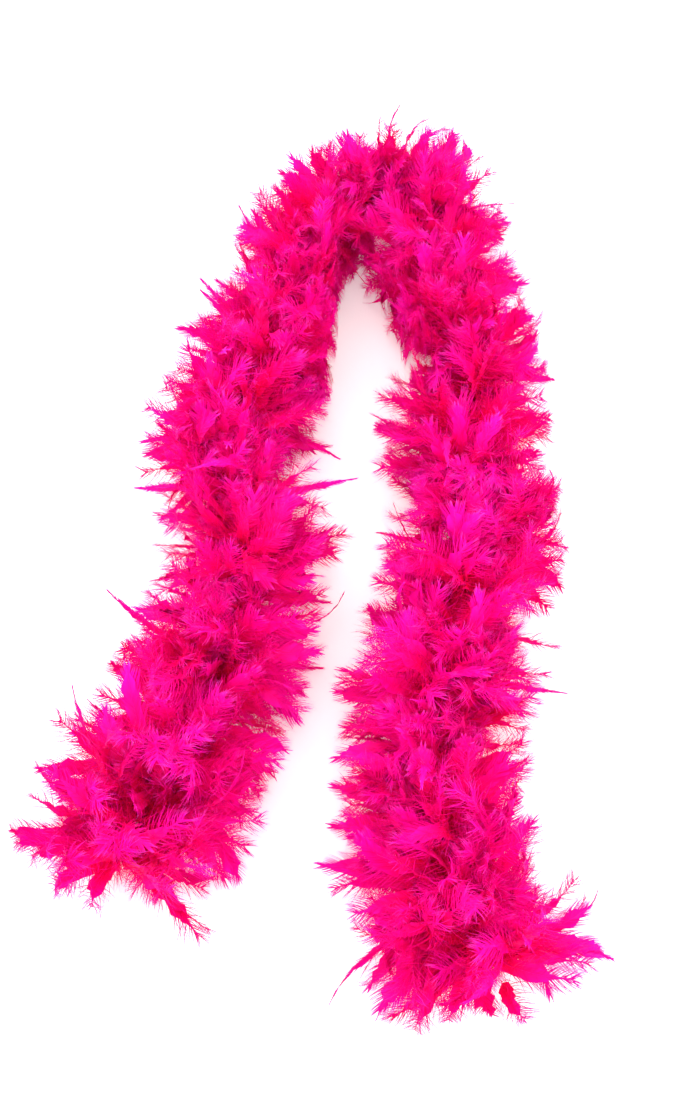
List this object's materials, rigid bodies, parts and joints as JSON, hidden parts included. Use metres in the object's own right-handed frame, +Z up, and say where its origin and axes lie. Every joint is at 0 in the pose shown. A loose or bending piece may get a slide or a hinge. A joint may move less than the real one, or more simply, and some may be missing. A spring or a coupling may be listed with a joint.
{
  "type": "feather boa",
  "caption": "Full feather boa laid flat and folded once: dyed turkey plumage bound in tufts along a twisted core cord that bends between the tufts.",
  "frame": {"origin": "the middle of the folded boa's footprint, on the surface it lies on", "axes": "+Z up; +Y along the legs towards the fold; +X to the right, towards the longer leg"},
  "size_m": [0.5058, 1.0342, 0.158],
  "materials": {
    "feather": "soft dyed chandelle plumage, satin sheen",
    "cord": "matte twisted two-ply cotton",
    "thread": "waxed binding thread"
  },
  "bodies": {
    "crown": {"crown_core_cord": "cord", "crown_feather_tuft": "feather"},
    "right_link_01": {"right_core_cord_01": "cord", "right_feather_tuft_01": "feather"},
    "right_link_02": {"right_core_cord_02": "cord", "right_feather_tuft_02": "feather"},
    "right_link_03": {"right_core_cord_03": "cord", "right_feather_tuft_03": "feather"},
    "right_link_04": {"right_core_cord_04": "cord", "right_feather_tuft_04": "feather"},
    "right_link_05": {"right_core_cord_05": "cord", "right_feather_tuft_05": "feather"},
    "right_link_06": {"right_core_cord_06": "cord", "right_feather_tuft_06": "feather"},
    "right_link_07": {"right_core_cord_07": "cord", "right_feather_tuft_07": "feather"},
    "right_link_08": {"right_core_cord_08": "cord", "right_feather_tuft_08": "feather"},
    "right_link_09": {"right_core_cord_09": "cord", "right_feather_tuft_09": "feather"},
    "right_link_10": {"right_core_cord_10": "cord", "right_feather_tuft_10": "feather"},
    "right_link_11": {"right_core_cord_11": "cord", "right_feather_tuft_11": "feather"},
    "right_link_12": {"right_core_cord_12": "cord", "right_feather_tuft_12": "feather", "right_end_whipping": "thread", "right_end_knot": "cord"},
    "left_link_01": {"left_core_cord_01": "cord", "left_feather_tuft_01": "feather"},
    "left_link_02": {"left_core_cord_02": "cord", "left_feather_tuft_02": "feather"},
    "left_link_03": {"left_core_cord_03": "cord", "left_feather_tuft_03": "feather"},
    "left_link_04": {"left_core_cord_04": "cord", "left_feather_tuft_04": "feather"},
    "left_link_05": {"left_core_cord_05": "cord", "left_feather_tuft_05": "feather"},
    "left_link_06": {"left_core_cord_06": "cord", "left_feather_tuft_06": "feather"},
    "left_link_07": {"left_core_cord_07": "cord", "left_feather_tuft_07": "feather"},
    "left_link_08": {"left_core_cord_08": "cord", "left_feather_tuft_08": "feather"},
    "left_link_09": {"left_core_cord_09": "cord", "left_feather_tuft_09": "feather"},
    "left_link_10": {"left_core_cord_10": "cord", "left_feather_tuft_10": "feather"},
    "left_link_11": {"left_core_cord_11": "cord", "left_feather_tuft_11": "feather", "left_end_whipping": "thread", "left_end_knot": "cord"}
  },
  "joints": [
    {"name": "right_fold_01", "type": "hinge", "parent": "crown", "child": "right_link_01", "pos_m": [0.10345, 0.44602, 0.062], "axis": [0, 0, 1], "range_deg": [0, 55]},
    {"name": "right_fold_02", "type": "hinge", "parent": "right_link_01", "child": "right_link_02", "pos_m": [0.13458, 0.42422, 0.062], "axis": [0, 0, 1], "range_deg": [0, 60]},
    {"name": "right_swing_03", "type": "hinge", "parent": "right_link_02", "child": "right_link_03", "pos_m": [0.13127, 0.38637, 0.062], "axis": [0, 0, -1], "range_deg": [-32, 2]},
    {"name": "right_lift_04", "type": "hinge", "parent": "right_link_03", "child": "right_link_04", "pos_m": [0.13127, 0.29937, 0.062], "axis": [-0.9763, -0.2164, 0], "range_deg": [0, 35]},
    {"name": "right_swing_05", "type": "hinge", "parent": "right_link_04", "child": "right_link_05", "pos_m": [0.16803, 0.22052, 0.062], "axis": [0, 0, -1], "range_deg": [-32, 3]},
    {"name": "right_lift_06", "type": "hinge", "parent": "right_link_05", "child": "right_link_06", "pos_m": [0.16803, 0.13352, 0.062], "axis": [-0.999, 0.0436, 0], "range_deg": [0, 35]},
    {"name": "right_swing_07", "type": "hinge", "parent": "right_link_06", "child": "right_link_07", "pos_m": [0.16045, 0.04685, 0.062], "axis": [0, 0, -1], "range_deg": [-32, 5]},
    {"name": "right_lift_08", "type": "hinge", "parent": "right_link_07", "child": "right_link_08", "pos_m": [0.17556, -0.03883, 0.062], "axis": [-0.999, 0.0436, 0], "range_deg": [0, 35]},
    {"name": "right_swing_09", "type": "hinge", "parent": "right_link_08", "child": "right_link_09", "pos_m": [0.15304, -0.12286, 0.062], "axis": [0, 0, -1], "range_deg": [-32, 8]},
    {"name": "right_lift_10", "type": "hinge", "parent": "right_link_09", "child": "right_link_10", "pos_m": [0.12329, -0.20462, 0.062], "axis": [-0.9848, 0.1736, 0], "range_deg": [0, 35]},
    {"name": "right_swing_11", "type": "hinge", "parent": "right_link_10", "child": "right_link_11", "pos_m": [0.12329, -0.29162, 0.062], "axis": [0, 0, -1], "range_deg": [-32, 20]},
    {"name": "right_lift_12", "type": "hinge", "parent": "right_link_11", "child": "right_link_12", "pos_m": [0.12329, -0.37862, 0.062], "axis": [-0.9763, -0.2164, 0], "range_deg": [0, 35]},
    {"name": "left_fold_01", "type": "hinge", "parent": "crown", "child": "left_link_01", "pos_m": [0.06774, 0.43302, 0.062], "axis": [0, 0, -1], "range_deg": [0, 20]},
    {"name": "left_fold_02", "type": "hinge", "parent": "left_link_01", "child": "left_link_02", "pos_m": [0.03863, 0.4086, 0.062], "axis": [0, 0, -1], "range_deg": [0, 15]},
    {"name": "left_swing_03", "type": "hinge", "parent": "left_link_02", "child": "left_link_03", "pos_m": [0.01684, 0.37747, 0.062], "axis": [0, 0, 1], "range_deg": [-32, 2]},
    {"name": "left_lift_04", "type": "hinge", "parent": "left_link_03", "child": "left_link_04", "pos_m": [-0.01292, 0.29572, 0.062], "axis": [-0.9659, 0.2588, 0], "range_deg": [0, 35]},
    {"name": "left_swing_05", "type": "hinge", "parent": "left_link_04", "child": "left_link_05", "pos_m": [-0.02803, 0.21004, 0.062], "axis": [0, 0, 1], "range_deg": [-32, 3]},
    {"name": "left_lift_06", "type": "hinge", "parent": "left_link_05", "child": "left_link_06", "pos_m": [-0.07153, 0.13469, 0.062], "axis": [-0.9397, 0.342, 0], "range_deg": [0, 35]},
    {"name": "left_swing_07", "type": "hinge", "parent": "left_link_06", "child": "left_link_07", "pos_m": [-0.08663, 0.04901, 0.062], "axis": [0, 0, 1], "range_deg": [-32, 6]},
    {"name": "left_lift_08", "type": "hinge", "parent": "left_link_07", "child": "left_link_08", "pos_m": [-0.05688, -0.03274, 0.062], "axis": [-0.9914, -0.1305, 0], "range_deg": [0, 35]},
    {"name": "left_swing_09", "type": "hinge", "parent": "left_link_08", "child": "left_link_09", "pos_m": [-0.06446, -0.11941, 0.062], "axis": [0, 0, 1], "range_deg": [-32, 10]},
    {"name": "left_lift_10", "type": "hinge", "parent": "left_link_09", "child": "left_link_10", "pos_m": [-0.09422, -0.20116, 0.062], "axis": [-0.9397, 0.342, 0], "range_deg": [0, 35]},
    {"name": "left_swing_11", "type": "hinge", "parent": "left_link_10", "child": "left_link_11", "pos_m": [-0.12397, -0.28292, 0.062], "axis": [0, 0, 1], "range_deg": [-32, 20]}
  ]
}
